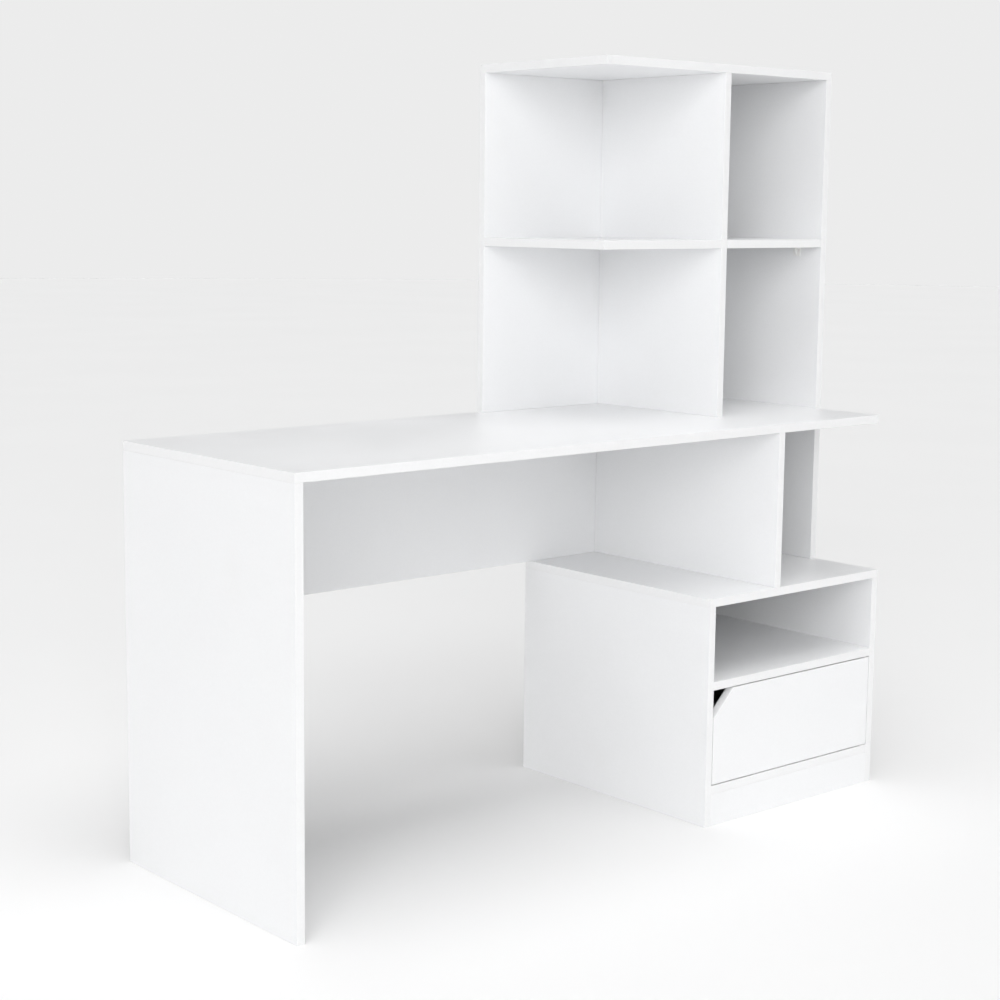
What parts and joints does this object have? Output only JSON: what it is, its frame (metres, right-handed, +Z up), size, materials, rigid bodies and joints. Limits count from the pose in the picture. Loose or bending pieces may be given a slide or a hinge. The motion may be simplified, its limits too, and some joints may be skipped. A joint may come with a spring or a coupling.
{
  "type": "corner desk",
  "caption": "White board desk with an end panel, a side cabinet with a hinged door and open bay, and a hutch with an open corner shelf and a shelf column.",
  "frame": {"origin": "on the floor, midway between the desk's two ends and midway between its front and back edges", "axes": "+Z up, +X along the desk towards the cabinet end, +Y from the sitter to the wall, so the front faces -Y"},
  "size_m": [1.426, 0.51, 1.423],
  "materials": {
    "white_board": "white melamine-faced chipboard with white edge banding, satin",
    "door_board": "white melamine-faced chipboard door with white edge banding, satin",
    "back_sheet": "thin hardboard painted white",
    "white_nylon": "white moulded nylon",
    "zinc_steel": "zinc-plated steel",
    "cast_zinc": "die-cast zinc",
    "beech": "plain beech dowel rod"
  },
  "bodies": {
    "desk_frame": {"worktop": "white_board", "left_end_panel": "white_board", "modesty_panel": "white_board", "lower_divider": "white_board", "tall_side_panel": "white_board", "hutch_back_panel": "white_board", "hutch_divider": "white_board", "hutch_top": "white_board", "corner_shelf": "white_board", "column_shelf": "white_board", "cabinet_top": "white_board", "cabinet_left_side": "white_board", "cabinet_right_side": "white_board", "cabinet_shelf": "white_board", "cabinet_floor": "white_board", "front_plinth": "white_board", "rear_plinth": "white_board", "cabinet_back": "back_sheet", "door_pivot_bushes": "white_nylon", "magnetic_catch": "white_nylon", "catch_screws": "zinc_steel", "shelf_supports": "white_nylon", "wood_dowels": "beech", "cam_bolts": "zinc_steel", "cams": "cast_zinc"},
    "door_leaf": {"door": "door_board", "door_pivot_pins": "zinc_steel", "strike_plate": "zinc_steel", "strike_screw": "zinc_steel"}
  },
  "joints": [
    {"name": "door_hinge", "type": "hinge", "parent": "desk_frame", "child": "door_leaf", "pos_m": [0.685, -0.249, 0.17], "axis": [0, 0, 1], "range_deg": [0, 105]}
  ]
}
